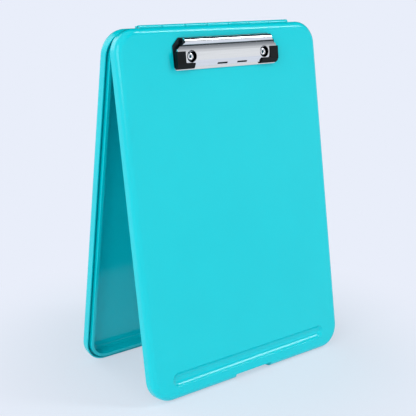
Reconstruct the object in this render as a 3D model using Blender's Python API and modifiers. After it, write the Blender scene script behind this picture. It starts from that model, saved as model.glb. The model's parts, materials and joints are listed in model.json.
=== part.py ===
# Storage clipboard standing open like a tent: a lid with a clip, hinged at its top edge to a storage tray.
# Both halves are modelled hanging shut from the hinge axis, then swung apart until their feet share a floor.
# In a half's own frame x runs along the hinge, y from the lid's face to the tray's back, and z up.

import bpy
import bmesh
from math import atan2, cos, pi, radians, sin, sqrt
from mathutils import Matrix, Vector

MM = 0.001

# Case
CASE_WIDTH = 240 * MM
CASE_LENGTH = 340 * MM
CORNER_RADIUS = 22.5 * MM
EDGE_RADIUS = 5.5 * MM
WALL = 2.2 * MM
LID_DEPTH = 12 * MM
TRAY_DEPTH = 12 * MM
RIM_GAP = 0.3 * MM
OPEN_ANGLE = radians(18.62)

# Tray rim: outer wall, channel and inner lip
RIM_WALL = 1.4 * MM
CHANNEL_WIDTH = 2.2 * MM
CHANNEL_DEPTH = 6 * MM
LIP_WALL = 2.1 * MM
LIP_RISE = 2.6 * MM
TRAY_SETBACK = 1.8 * MM

# Case hinge
HINGE_END_INSET = 30 * MM
HINGE_RISE = 0.8 * MM
KNUCKLES = 7
KNUCKLE_WALL = 0.9 * MM
KNUCKLE_GAP = 0.6 * MM
KNUCKLE_CLEARANCE = 0.4 * MM
HINGE_PIN_RADIUS = 1.0 * MM
HINGE_PIN_INSET = 0.5 * MM
PIN_CLEARANCE = 0.3 * MM
WEB_TOP = 0.4 * MM
WEB_OVERLAP = 1.0 * MM

# Pen groove
GROOVE_END_INSET = 22.5 * MM
GROOVE_WIDTH = 13 * MM
GROOVE_DEPTH = 3.2 * MM
GROOVE_RISE = 19 * MM

# Latch and the notch it closes into
NOTCH_WIDTH = 46 * MM
NOTCH_HEIGHT = 4.5 * MM
LATCH_SIDE_CLEARANCE = 0.9 * MM
LATCH_ROUND_CLEARANCE = 0.6 * MM
LATCH_REAR_CLEARANCE = 1.6 * MM
LATCH_REACH = 12 * MM
LATCH_THICKNESS = 2.2 * MM
LATCH_BARREL_WALL = 0.7 * MM
LATCH_BEAD_RADIUS = 0.9 * MM
LATCH_PIN_RADIUS = 0.9 * MM
LATCH_PIN_DEPTH = 4.6 * MM
LATCH_PIN_SEAT = 1.5 * MM
LATCH_HOLE_SPARE = 0.3 * MM
LIP_CLEARANCE = 1.0 * MM

# Clip, in heights above the lid's face and drops below the lid's top edge
CLIP_WIDTH = 119 * MM
CLIP_DROP = 11 * MM
SHEET = 0.8 * MM
SEAT_GAP = 0.3 * MM
BAR_INSET = 7 * MM
BAR_RADIUS = 3.5 * MM
BAR_RISE = 3.3 * MM
BAR_END_LENGTH = 4.5 * MM
BAR_TO_ROD = 12 * MM
SHOULDER_TO_ROD = 2 * MM
ROD_TO_BEND = 11 * MM
ROD_RADIUS = 0.8 * MM
ROD_INSET = 0.4 * MM
ROD_CLEARANCE = 0.2 * MM
PLATE_FALL = 0.6 * MM
LIP_LENGTH = 3.2 * MM
LIP_EDGE = 0.6 * MM
BASE_OVERHANG = 2.1 * MM
BASE_TOP_SHOWN = 0.8 * MM
BASE_FOOT_SHOWN = 2.4 * MM
BASE_CORNER_CUT = 7 * MM
BASE_FOOT_RADIUS = 3 * MM
EAR_WALL = 1.0 * MM
EAR_SHEET = 1.0 * MM
EAR_INSET = 3.2 * MM
RIVET_INSET = 15.5 * MM
ROD_TO_RIVET = 4.8 * MM
RIVET_STEM_RADIUS = 2.0 * MM
RIVET_BORE_RADIUS = 1.2 * MM
RIVET_HEAD_RADIUS = 3.5 * MM
RIVET_CROWN = 2.2 * MM
RIVET_TAIL_RADIUS = 3.2 * MM
RIVET_TAIL = 0.8 * MM
WASHER_RADIUS = 5.0 * MM
WASHER_THICKNESS = 0.8 * MM
WINDOW_CLEARANCE = 2.0 * MM
SLOT_WIDTH = 12 * MM
SLOT_SPACING = 24 * MM
SLOT_CENTRE = 4.6 * MM
BEND_TO_SLOT = 0.9 * MM
SLOT_LENGTH = 1.5 * MM

# Black corner grips on the jaw
GRIP_THICKNESS = 1.3 * MM
GRIP_LEG_WIDTH = 8 * MM
GRIP_FOOT_LENGTH = 18.5 * MM
GRIP_FOOT_RISE = 0.2 * MM
GRIP_SKIRT_GAP = 0.6 * MM
GRIP_BEND_GAP = 0.45 * MM
GRIP_CORNER_RADIUS = 2.5 * MM

# Torsion springs on the clip's rod
SPRING_OFFSET = 20 * MM
SPRING_WIRE_RADIUS = 0.35 * MM
SPRING_ROD_GAP = 0.3 * MM
SPRING_HEADROOM = 0.5 * MM
SPRING_TURNS = 5
SPRING_PITCH = 1.15 * MM
SPRING_REAR_LEG = 5.8 * MM
SPRING_REAR_LIFT = 0.25 * MM
SPRING_BEND = 2.9 * MM
SPRING_FRONT_LEG = 7 * MM
SPRING_WINDOW_SPARE = 0.6 * MM

# Facets and modelling tolerances
CORNER_FACETS = 12
EDGE_FACETS = 5
ROUND_FACETS = 24
SMALL_FACETS = 16
COIL_POINTS = 10
WIRE_RESOLUTION = 1
SHARP_ANGLE = radians(35)
OVERCUT = 1 * MM
FLATNESS = 0.01 * MM
WELD = 0.001 * MM
PIVOT_MARK = 10 * MM

# Case places worked out from the sizes above
KNUCKLE_RADIUS = HINGE_PIN_RADIUS + PIN_CLEARANCE + KNUCKLE_WALL
HINGE_LENGTH = CASE_WIDTH - 2 * HINGE_END_INSET
HINGE_HALF = HINGE_LENGTH / 2
LID_TOP = -HINGE_RISE
LID_FOOT = LID_TOP - CASE_LENGTH
LID_RIM = KNUCKLE_RADIUS + KNUCKLE_CLEARANCE
LID_FACE = LID_RIM - LID_DEPTH
TRAY_TOP = LID_TOP - TRAY_SETBACK
TRAY_RIM = LID_RIM + RIM_GAP
TRAY_BACK = TRAY_RIM + TRAY_DEPTH
LIP_TOP = TRAY_RIM - LIP_RISE
LIP_INSET = RIM_WALL + CHANNEL_WIDTH
STORE_INSET = LIP_INSET + LIP_WALL
NOTCH_HALF = NOTCH_WIDTH / 2
NOTCH_CEILING = LID_FOOT + NOTCH_HEIGHT
POCKET_HALF = NOTCH_HALF + WALL
LATCH_BARREL_RADIUS = LATCH_PIN_RADIUS + PIN_CLEARANCE + LATCH_BARREL_WALL
LATCH_PIN_Y = TRAY_RIM + LATCH_PIN_DEPTH
LATCH_PIN_Z = LID_FOOT + LATCH_BARREL_RADIUS + LATCH_ROUND_CLEARANCE
RECESS_CEILING = LATCH_PIN_Z + LATCH_BARREL_RADIUS + LATCH_ROUND_CLEARANCE
RECESS_BACK = LATCH_PIN_Y + LATCH_BARREL_RADIUS + LATCH_REAR_CLEARANCE

# Clip places worked out from the sizes above
JAW_HALF = CLIP_WIDTH / 2
BAR_HALF = JAW_HALF - BAR_INSET
BASE_HALF = JAW_HALF + BASE_OVERHANG
RIVET_OFFSET = JAW_HALF - RIVET_INSET
GRIP_LEG_HALF = JAW_HALF - GRIP_LEG_WIDTH
GRIP_FOOT_HALF = JAW_HALF - GRIP_FOOT_LENGTH
BAR_CENTRE_DROP = CLIP_DROP + BAR_RADIUS
BAR_END_DROP = CLIP_DROP + BAR_END_LENGTH
ROD_DROP = CLIP_DROP + BAR_TO_ROD
SHOULDER_DROP = ROD_DROP - SHOULDER_TO_ROD
RIVET_DROP = ROD_DROP + ROD_TO_RIVET
BEND_DROP = ROD_DROP + ROD_TO_BEND
SLOT_DROP = BEND_DROP + BEND_TO_SLOT
GRIP_FOOT_DROP = BEND_DROP - GRIP_FOOT_RISE
JAW_DROP = BEND_DROP + LIP_LENGTH
BASE_TOP_DROP = CLIP_DROP - BASE_TOP_SHOWN
BASE_FOOT_DROP = JAW_DROP + BASE_FOOT_SHOWN
BASE_TOP = SEAT_GAP + SHEET
ROD_HEIGHT = BASE_TOP + ROD_CLEARANCE + ROD_RADIUS
EAR_RADIUS = ROD_RADIUS + EAR_WALL
SPRING_COIL_RADIUS = ROD_RADIUS + SPRING_ROD_GAP + SPRING_WIRE_RADIUS
SPRING_OUTER_RADIUS = SPRING_COIL_RADIUS + SPRING_WIRE_RADIUS
PLATE_HEIGHT = ROD_HEIGHT + SPRING_OUTER_RADIUS + SPRING_HEADROOM + SHEET
BEND_HEIGHT = PLATE_HEIGHT - PLATE_FALL
BAR_TOP = PLATE_HEIGHT + BAR_RISE
BAR_CENTRE_HEIGHT = BAR_TOP - BAR_RADIUS
LIP_HEIGHT = BASE_TOP + SEAT_GAP + LIP_EDGE
RIVET_HEAD_HEIGHT = BASE_TOP + SEAT_GAP + RIVET_CROWN
WINDOW_RADIUS = RIVET_HEAD_RADIUS + WINDOW_CLEARANCE
GRIP_SKIRT_HEIGHT = BASE_TOP + GRIP_SKIRT_GAP

SIDES = {"left": -1, "right": 1}

MATERIALS = {
    "turquoise_plastic": ((0.030, 0.645, 0.745, 1), 0.32, 0.0),
    "bright_plated_steel": ((0.78, 0.80, 0.82, 1), 0.12, 1.0),
    "pin_steel": ((0.55, 0.56, 0.58, 1), 0.35, 1.0),
    "spring_steel": ((0.35, 0.36, 0.38, 1), 0.40, 1.0),
    "black_rubber": ((0.006, 0.008, 0.009, 1), 0.55, 0.0),
}


def clear_scene():
    for obj in list(bpy.data.objects):
        bpy.data.objects.remove(obj, do_unlink=True)


def make_collection(name):
    collection = bpy.data.collections.new(name)
    bpy.context.scene.collection.children.link(collection)
    return collection


def make_material(name):
    colour, roughness, metallic = MATERIALS[name]
    material = bpy.data.materials.new(name)
    material.use_nodes = True
    shader = material.node_tree.nodes["Principled BSDF"]
    shader.inputs["Base Color"].default_value = colour
    shader.inputs["Roughness"].default_value = roughness
    shader.inputs["Metallic"].default_value = metallic
    return material


def make_empty(name, collection, parent=None, location=(0, 0, 0), turn_x=0.0):
    empty = bpy.data.objects.new(name, None)
    empty.empty_display_size = PIVOT_MARK
    empty.location = location
    empty.rotation_euler = (turn_x, 0, 0)
    empty.parent = parent
    collection.objects.link(empty)
    return empty


def add_object(name, mesh, place, material=None):
    # A piece of the object if it has a material, or else a tool that shapes one.
    obj = bpy.data.objects.new(name, mesh)
    mesh.name = name
    obj.parent = place["parent"]
    place["collection"].objects.link(obj)
    if material:
        mesh.materials.append(material)
    else:
        obj.hide_render = True
        obj.display_type = "WIRE"
    return obj


def mesh_from(bm):
    mesh = bpy.data.meshes.new("mesh")
    bm.to_mesh(mesh)
    bm.free()
    mesh.shade_smooth()
    mesh.set_sharp_from_angle(angle=SHARP_ANGLE)
    return mesh


def combine(obj, tool, operation="DIFFERENCE"):
    modifier = obj.modifiers.new(tool.name, "BOOLEAN")
    modifier.operation = operation
    modifier.object = tool
    modifier.solver = "EXACT"


def boxes(*spans):
    bm = bmesh.new()
    for (x0, x1), (y0, y1), (z0, z1) in spans:
        size = Matrix.Diagonal((x1 - x0, y1 - y0, z1 - z0, 1))
        middle = Matrix.Translation(((x0 + x1) / 2, (y0 + y1) / 2, (z0 + z1) / 2))
        bmesh.ops.create_cube(bm, size=1, matrix=middle @ size)
    return mesh_from(bm)


def cylinders(radius, length, centres, axis_turn, facets):
    bm = bmesh.new()
    for centre in centres:
        bmesh.ops.create_cone(bm, cap_ends=True, segments=facets, radius1=radius, radius2=radius,
                              depth=length, matrix=Matrix.Translation(centre) @ axis_turn)
    return mesh_from(bm)


def rods(radius, spans, y=0.0, z=0.0, facets=SMALL_FACETS):
    # Bars along x, all of the first one's length.
    centres = [((x0 + x1) / 2, y, z) for x0, x1 in spans]
    return cylinders(radius, spans[0][1] - spans[0][0], centres, Matrix.Rotation(pi / 2, 4, "Y"), facets)


def bores(radius, centres, y0, y1, facets=SMALL_FACETS):
    # Bars along y, through the lid's face.
    centres = [(x, (y0 + y1) / 2, z) for x, z in centres]
    return cylinders(radius, y1 - y0, centres, Matrix.Rotation(pi / 2, 4, "X"), facets)


def slab(inset, top, flat_y, round_y, edge_radius=0.0):
    # A panel block with round corners, whose edges are rounded on its round_y side.
    half = CASE_WIDTH / 2 - inset
    high = top - inset
    low = LID_FOOT + inset
    bm = bmesh.new()
    size = Matrix.Diagonal((2 * half, abs(round_y - flat_y), high - low, 1))
    middle = Matrix.Translation((0, (flat_y + round_y) / 2, (high + low) / 2))
    bmesh.ops.create_cube(bm, size=1, matrix=middle @ size)
    corners = [e for e in bm.edges if abs(e.verts[0].co.y - e.verts[1].co.y) > FLATNESS]
    bmesh.ops.bevel(bm, geom=corners, offset=CORNER_RADIUS - inset, segments=CORNER_FACETS, profile=0.5,
                    affect="EDGES")
    if edge_radius:
        ring = [e for e in bm.edges if all(abs(v.co.y - round_y) < FLATNESS for v in e.verts)]
        bmesh.ops.bevel(bm, geom=ring, offset=edge_radius, segments=EDGE_FACETS, profile=0.5,
                        affect="EDGES")
    return mesh_from(bm)


def capsule(radius, half_length, y, z):
    # A sphere with its poles along x, parted at the middle into a round-ended bar.
    bm = bmesh.new()
    bmesh.ops.create_uvsphere(bm, u_segments=ROUND_FACETS, v_segments=SMALL_FACETS + 1, radius=radius,
                              matrix=Matrix.Rotation(pi / 2, 4, "Y"))
    for vert in bm.verts:
        vert.co.x += half_length if vert.co.x > 0 else -half_length
        vert.co.y += y
        vert.co.z += z
    return mesh_from(bm)


def curve_through(points, cyclic):
    curve = bpy.data.curves.new("curve", "CURVE")
    spline = curve.splines.new("POLY")
    spline.points.add(len(points) - 1)
    for point, place in zip(spline.points, points):
        point.co = (*place, 1)
    spline.use_cyclic_u = cyclic
    return curve


def solid_of(curve):
    holder = bpy.data.objects.new("holder", curve)
    bpy.context.scene.collection.objects.link(holder)
    depsgraph = bpy.context.evaluated_depsgraph_get()
    mesh = bpy.data.meshes.new_from_object(holder.evaluated_get(depsgraph))
    bpy.data.objects.remove(holder)
    bm = bmesh.new()
    bm.from_mesh(mesh)
    bmesh.ops.remove_doubles(bm, verts=bm.verts, dist=WELD)
    bmesh.ops.recalc_face_normals(bm, faces=bm.faces)
    bpy.data.meshes.remove(mesh)
    return mesh_from(bm)


def outline(points, thickness):
    # A closed flat outline drawn in x and y, given its thickness along z about the middle.
    curve = curve_through([(x, y, 0) for x, y in points], cyclic=True)
    curve.dimensions = "2D"
    curve.fill_mode = "BOTH"
    curve.extrude = thickness / 2
    return solid_of(curve)


def side_profile(points, half_width):
    # An outline given as drop and height, as seen from the clip's end, made 2 * half_width wide.
    mesh = outline(points, 2 * half_width)
    mesh.transform(Matrix(((0, 0, -1, 0), (0, -1, 0, 0), (-1, 0, 0, 0), (0, 0, 0, 1))))
    return mesh


def plan_profile(points, reach):
    # An outline given as offset and drop, as seen on the lid's face, reaching above and below it.
    mesh = outline([(offset, -drop) for offset, drop in points], 2 * reach)
    mesh.transform(Matrix.Rotation(pi / 2, 4, "X"))
    return mesh


def arc(centre, radius, start, end, steps):
    return [(centre[0] + radius * cos(start + (end - start) * i / steps),
             centre[1] + radius * sin(start + (end - start) * i / steps)) for i in range(steps + 1)]


def turned(name, profile, place, material):
    # A closed ring profile of (radius, height) turned about its height axis, which points out of the lid.
    mesh = bpy.data.meshes.new(name)
    edges = [(i, (i + 1) % len(profile)) for i in range(len(profile))]
    mesh.from_pydata([(radius, 0, height) for radius, height in profile], edges, [])
    obj = add_object(name, mesh, place, material)
    obj.rotation_euler = (pi / 2, 0, 0)
    screw = obj.modifiers.new("turn", "SCREW")
    screw.axis = "Z"
    screw.angle = 2 * pi
    screw.steps = ROUND_FACETS
    screw.render_steps = ROUND_FACETS
    screw.use_merge_vertices = True
    screw.merge_threshold = WELD
    screw.use_smooth_shade = False
    return obj


def knuckle_spans(first, spare=0.0):
    pitch = (HINGE_LENGTH + KNUCKLE_GAP) / KNUCKLES
    starts = [-HINGE_HALF + i * pitch for i in range(first, KNUCKLES, 2)]
    return [(start - spare, start + pitch - KNUCKLE_GAP + spare) for start in starts]


def hinge_bore(name, tool):
    spans = [(-HINGE_HALF - OVERCUT, HINGE_HALF + OVERCUT)]
    return add_object(name, rods(HINGE_PIN_RADIUS + PIN_CLEARANCE, spans), tool)


def rivet_places(top):
    return [(side * RIVET_OFFSET, top - RIVET_DROP) for side in SIDES.values()]


def build_lid(part, tool, plastic):
    lid = add_object("lid_shell", slab(0, LID_TOP, LID_RIM, LID_FACE, EDGE_RADIUS), part, plastic)

    groove_radius = (GROOVE_WIDTH ** 2 / 4 + GROOVE_DEPTH ** 2) / (2 * GROOVE_DEPTH)
    groove_y = LID_FACE + GROOVE_DEPTH - groove_radius
    groove_z = LID_FOOT + GROOVE_RISE
    groove_half = CASE_WIDTH / 2 - GROOVE_END_INSET - GROOVE_WIDTH / 2
    hollow = add_object("lid_hollow", slab(
        WALL, LID_TOP, LID_RIM + OVERCUT, LID_FACE + WALL, EDGE_RADIUS - WALL), tool)
    backing = add_object("groove_backing", capsule(
        groove_radius + WALL, groove_half, groove_y, groove_z), tool)
    notch_wall = add_object("notch_wall", boxes((
        (-POCKET_HALF, POCKET_HALF), (LID_FACE, LID_RIM + 2 * OVERCUT),
        (LID_FOOT, NOTCH_CEILING + WALL))), tool)
    combine(hollow, backing)
    combine(hollow, notch_wall)
    combine(lid, hollow)

    groove = add_object("pen_groove", capsule(groove_radius, groove_half, groove_y, groove_z), tool)
    notch = add_object("latch_notch", boxes((
        (-NOTCH_HALF, NOTCH_HALF), (LID_FACE - OVERCUT, LID_RIM + OVERCUT),
        (LID_FOOT - OVERCUT, NOTCH_CEILING))), tool)
    rivet_holes = add_object("lid_rivet_holes", bores(
        RIVET_STEM_RADIUS + PIN_CLEARANCE, rivet_places(LID_TOP),
        LID_FACE - OVERCUT, LID_FACE + WALL + OVERCUT), tool)
    knuckles = add_object("lid_knuckles", rods(
        KNUCKLE_RADIUS, knuckle_spans(1), facets=ROUND_FACETS), tool)
    front = -(KNUCKLE_RADIUS + 2 * KNUCKLE_CLEARANCE)
    gaps = add_object("lid_hinge_gaps", boxes(*(
        (span, (front, LID_RIM + OVERCUT), (LID_TOP - WALL - OVERCUT, KNUCKLE_RADIUS + OVERCUT))
        for span in knuckle_spans(0, KNUCKLE_CLEARANCE))), tool)
    combine(lid, groove)
    combine(lid, notch)
    combine(lid, rivet_holes)
    combine(lid, knuckles, "UNION")
    combine(lid, gaps)
    combine(lid, hinge_bore("lid_hinge_bore", tool))


def build_tray(part, tool, plastic):
    tray = add_object("tray_shell", slab(0, TRAY_TOP, TRAY_RIM, TRAY_BACK, EDGE_RADIUS), part, plastic)

    lip = add_object("tray_lip", slab(
        LIP_INSET, TRAY_TOP, LIP_TOP, TRAY_RIM + CHANNEL_DEPTH / 2), tool)
    store = add_object("tray_store", slab(
        STORE_INSET, TRAY_TOP, LIP_TOP - OVERCUT, TRAY_BACK - WALL, EDGE_RADIUS - WALL), tool)
    recess_wall = add_object("recess_wall", boxes((
        (-POCKET_HALF, POCKET_HALF), (LIP_TOP - 2 * OVERCUT, TRAY_BACK),
        (LID_FOOT, RECESS_CEILING + WALL))), tool)
    combine(store, recess_wall)

    channel = add_object("tray_channel", slab(
        RIM_WALL, TRAY_TOP, TRAY_RIM - OVERCUT, TRAY_RIM + CHANNEL_DEPTH), tool)
    core = add_object("channel_core", slab(
        LIP_INSET, TRAY_TOP, TRAY_RIM - 2 * OVERCUT, TRAY_BACK), tool)
    channel_stop = add_object("channel_stop", boxes((
        (-POCKET_HALF - WALL, POCKET_HALF + WALL), (TRAY_RIM - 2 * OVERCUT, TRAY_BACK),
        (LID_FOOT - OVERCUT, RECESS_CEILING + WALL))), tool)
    combine(channel, core)
    combine(channel, channel_stop)

    webs = add_object("tray_hinge_webs", boxes(*(
        (span, (0, TRAY_RIM + RIM_WALL + KNUCKLE_CLEARANCE), (TRAY_TOP - WEB_OVERLAP, WEB_TOP))
        for span in knuckle_spans(0, -KNUCKLE_CLEARANCE))), tool)
    knuckles = add_object("tray_knuckles", rods(
        KNUCKLE_RADIUS, knuckle_spans(0), facets=ROUND_FACETS), tool)
    recess = add_object("latch_recess", boxes((
        (-NOTCH_HALF, NOTCH_HALF), (LIP_TOP - OVERCUT, RECESS_BACK),
        (LID_FOOT - OVERCUT, RECESS_CEILING))), tool)
    lip_gap = add_object("lip_gap", boxes((
        (-POCKET_HALF - LIP_CLEARANCE, POCKET_HALF + LIP_CLEARANCE), (LIP_TOP - OVERCUT, TRAY_RIM),
        (LID_FOOT - OVERCUT, RECESS_CEILING + WALL + LIP_CLEARANCE))), tool)
    hole_end = NOTCH_HALF + LATCH_PIN_SEAT + LATCH_HOLE_SPARE
    pin_holes = add_object("latch_pin_holes", rods(
        LATCH_PIN_RADIUS + PIN_CLEARANCE, [(-hole_end, hole_end)], LATCH_PIN_Y, LATCH_PIN_Z), tool)
    combine(tray, lip, "UNION")
    combine(tray, store)
    combine(tray, channel)
    combine(tray, webs, "UNION")
    combine(tray, knuckles, "UNION")
    combine(tray, hinge_bore("tray_hinge_bore", tool))
    combine(tray, recess)
    combine(tray, lip_gap)
    combine(tray, pin_holes)


def build_pins(part, steel):
    half = HINGE_HALF - HINGE_PIN_INSET
    add_object("hinge_pin", rods(HINGE_PIN_RADIUS, [(-half, half)]), part, steel)
    half = NOTCH_HALF + LATCH_PIN_SEAT
    latch_pin = rods(LATCH_PIN_RADIUS, [(-half, half)], LATCH_PIN_Y, LATCH_PIN_Z)
    add_object("latch_pin", latch_pin, part, steel)


def build_latch(part, tool, plastic):
    half = NOTCH_HALF - LATCH_SIDE_CLEARANCE
    flap = add_object("latch_flap", boxes((
        (-half, half), (-LATCH_REACH, 0), (-LATCH_THICKNESS / 2, LATCH_THICKNESS / 2))), part, plastic)
    inner = half - KNUCKLE_CLEARANCE
    barrel = add_object("latch_barrel", rods(LATCH_BARREL_RADIUS, [(-inner, inner)]), tool)
    bead_y = -LATCH_REACH + LATCH_BEAD_RADIUS
    bead_z = NOTCH_CEILING - LATCH_PIN_Z - SEAT_GAP - LATCH_BEAD_RADIUS
    bead = add_object("latch_bead", rods(LATCH_BEAD_RADIUS, [(-inner, inner)], bead_y, bead_z), tool)
    bore = add_object("latch_bore", rods(
        LATCH_PIN_RADIUS + PIN_CLEARANCE, [(-half - OVERCUT, half + OVERCUT)]), tool)
    combine(flap, barrel, "UNION")
    combine(flap, bead, "UNION")
    combine(flap, bore)


def spring_start(side):
    return side * SPRING_OFFSET - SPRING_TURNS * SPRING_PITCH / 2


def base_plan():
    # The base plate as offset and drop: cut corners at its top, rounded ones at its foot.
    round_centre = (BASE_HALF - BASE_FOOT_RADIUS, BASE_FOOT_DROP - BASE_FOOT_RADIUS)
    right = [(BASE_HALF - BASE_CORNER_CUT, BASE_TOP_DROP), (BASE_HALF, BASE_TOP_DROP + BASE_CORNER_CUT)]
    right += arc(round_centre, BASE_FOOT_RADIUS, 0, pi / 2, SMALL_FACETS // 4)
    return right + [(-offset, drop) for offset, drop in reversed(right)]


def build_clip_base(part, tool, plated, steel):
    sheet = plan_profile(base_plan(), SHEET / 2)
    sheet.transform(Matrix.Translation((0, -SEAT_GAP - SHEET / 2, 0)))
    base = add_object("clip_base_plate", sheet, part, plated)
    ear_out = JAW_HALF - EAR_INSET
    ear_in = ear_out - EAR_SHEET
    ear_spans = [(-ear_out, -ear_in), (ear_in, ear_out)]
    ears = add_object("clip_ears", boxes(*(
        (span, (-ROD_HEIGHT, -SEAT_GAP - SHEET / 2), (-ROD_DROP - EAR_RADIUS, -ROD_DROP + EAR_RADIUS))
        for span in ear_spans)), tool)
    ear_tops = add_object("clip_ear_tops", rods(
        EAR_RADIUS, ear_spans, -ROD_HEIGHT, -ROD_DROP, ROUND_FACETS), tool)
    rod_holes = add_object("ear_holes", rods(
        ROD_RADIUS + PIN_CLEARANCE, [(-ear_out - OVERCUT, ear_out + OVERCUT)],
        -ROD_HEIGHT, -ROD_DROP), tool)
    rivet_holes = add_object("base_rivet_holes", bores(
        RIVET_STEM_RADIUS + PIN_CLEARANCE, rivet_places(0), -BASE_TOP - OVERCUT, 0), tool)
    reach = SPRING_OUTER_RADIUS + SPRING_WINDOW_SPARE
    coil_length = SPRING_TURNS * SPRING_PITCH
    spring_windows = add_object("spring_windows", boxes(*(
        ((spring_start(side) - SPRING_PITCH, spring_start(side) + coil_length + 2 * SPRING_PITCH),
         (-BASE_TOP - OVERCUT, 0), (-ROD_DROP - reach, -ROD_DROP + reach))
        for side in SIDES.values())), tool)
    combine(ears, ear_tops, "UNION")
    combine(base, ears, "UNION")
    combine(base, rod_holes)
    combine(base, rivet_holes)
    combine(base, spring_windows)
    half = JAW_HALF - ROD_INSET
    rod = rods(ROD_RADIUS, [(-half, half)], -ROD_HEIGHT, -ROD_DROP)
    add_object("clip_pivot_rod", rod, part, steel)


def build_rivets(part, plated, steel):
    washer_front = -WALL - SEAT_GAP
    washer_back = washer_front - WASHER_THICKNESS
    head_seat = BASE_TOP + SEAT_GAP
    tail_front = washer_back - SEAT_GAP
    tail_back = tail_front - RIVET_TAIL
    round_radius = (RIVET_HEAD_RADIUS - RIVET_BORE_RADIUS) / 2
    round_centre = (RIVET_BORE_RADIUS + round_radius, RIVET_HEAD_HEIGHT - round_radius)
    crown = arc(round_centre, round_radius, pi, 0, SMALL_FACETS // 2)
    rivet = crown + [
        (RIVET_HEAD_RADIUS, head_seat), (RIVET_STEM_RADIUS, head_seat), (RIVET_STEM_RADIUS, tail_front),
        (RIVET_TAIL_RADIUS, tail_front), (RIVET_TAIL_RADIUS, tail_back), (RIVET_BORE_RADIUS, tail_back)]
    hole = RIVET_STEM_RADIUS + PIN_CLEARANCE
    washer = [(WASHER_RADIUS, washer_front), (WASHER_RADIUS, washer_back),
              (hole, washer_back), (hole, washer_front)]
    for word, side in SIDES.items():
        for obj in (turned(f"rivet_{word}", rivet, part, plated),
                    turned(f"rivet_washer_{word}", washer, part, steel)):
            obj.location = (side * RIVET_OFFSET, 0, -RIVET_DROP)


def jaw_skin(depth):
    # The jaw's section at a depth below its outer skin: rolled bar, flat plate, then the bend to the lip.
    radius = BAR_RADIUS - depth
    plate = PLATE_HEIGHT - depth
    bend = BEND_HEIGHT - depth
    end = LIP_HEIGHT - depth
    valley = atan2(plate - BAR_CENTRE_HEIGHT, sqrt(radius ** 2 - (plate - BAR_CENTRE_HEIGHT) ** 2))
    bar = arc((BAR_CENTRE_DROP, BAR_CENTRE_HEIGHT), radius, pi, valley, SMALL_FACETS)
    return bar + [(BEND_DROP, bend), (JAW_DROP, end)]


def jaw_plan(inset, drop_spare):
    # Half widths of the jaw at each drop, drawn in by inset at the ends only.
    slope = (SHOULDER_DROP - BAR_END_DROP) / (JAW_HALF - BAR_HALF)
    step = inset * (sqrt(1 + slope ** 2) - slope)
    right = [(BAR_HALF - inset, CLIP_DROP - drop_spare), (BAR_HALF - inset, BAR_END_DROP + step),
             (JAW_HALF - inset, SHOULDER_DROP + step), (JAW_HALF - inset, JAW_DROP + drop_spare)]
    return right + [(-offset, drop) for offset, drop in reversed(right)]


def to_jaw(mesh):
    # The clip's drawings start at the lid's top edge; the jaw's own frame is on its rod.
    mesh.transform(Matrix.Translation((0, ROD_HEIGHT, ROD_DROP)))
    return mesh


def build_jaw(part, tool, plated):
    lowest = BASE_TOP + SEAT_GAP
    reach = JAW_HALF + OVERCUT
    solid = jaw_skin(0) + [(JAW_DROP, lowest), (ROD_DROP, lowest)]
    under = jaw_skin(SHEET)
    lip_slope = (BEND_HEIGHT - LIP_HEIGHT) / (JAW_DROP - BEND_DROP)
    near_drop = CLIP_DROP - OVERCUT
    far_drop = JAW_DROP + 2 * OVERCUT
    far_height = under[-1][1] - lip_slope * 2 * OVERCUT
    hollow = [(near_drop, BAR_CENTRE_HEIGHT)] + under[:-1] + [
        (far_drop, far_height), (far_drop, -ROD_DROP), (near_drop, -ROD_DROP)]

    jaw = add_object("clip_jaw", to_jaw(side_profile(solid, reach)), part, plated)
    plan = add_object("jaw_plan", to_jaw(plan_profile(jaw_plan(0, OVERCUT / 2), 2 * BAR_TOP)), tool)
    inside = add_object("jaw_inside", to_jaw(side_profile(hollow, reach + OVERCUT)), tool)
    inside_plan = add_object("jaw_inside_plan", to_jaw(plan_profile(
        jaw_plan(SHEET, 4 * OVERCUT), 3 * BAR_TOP)), tool)
    combine(jaw, plan, "INTERSECT")
    combine(inside, inside_plan, "INTERSECT")
    combine(jaw, inside)

    windows = add_object("rivet_windows", to_jaw(bores(
        WINDOW_RADIUS, rivet_places(0), -BAR_TOP, 0, ROUND_FACETS)), tool)
    slot_middles = [SLOT_CENTRE + side * SLOT_SPACING / 2 for side in SIDES.values()]
    slots = add_object("lip_slots", to_jaw(boxes(*(
        ((middle - SLOT_WIDTH / 2, middle + SLOT_WIDTH / 2), (-BAR_TOP, 0),
         (-SLOT_DROP - SLOT_LENGTH, -SLOT_DROP)) for middle in slot_middles))), tool)
    rod_holes = add_object("jaw_rod_holes", rods(
        ROD_RADIUS + PIN_CLEARANCE, [(-reach - OVERCUT, reach + OVERCUT)]), tool)
    combine(jaw, windows)
    combine(jaw, slots)
    combine(jaw, rod_holes)


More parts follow.
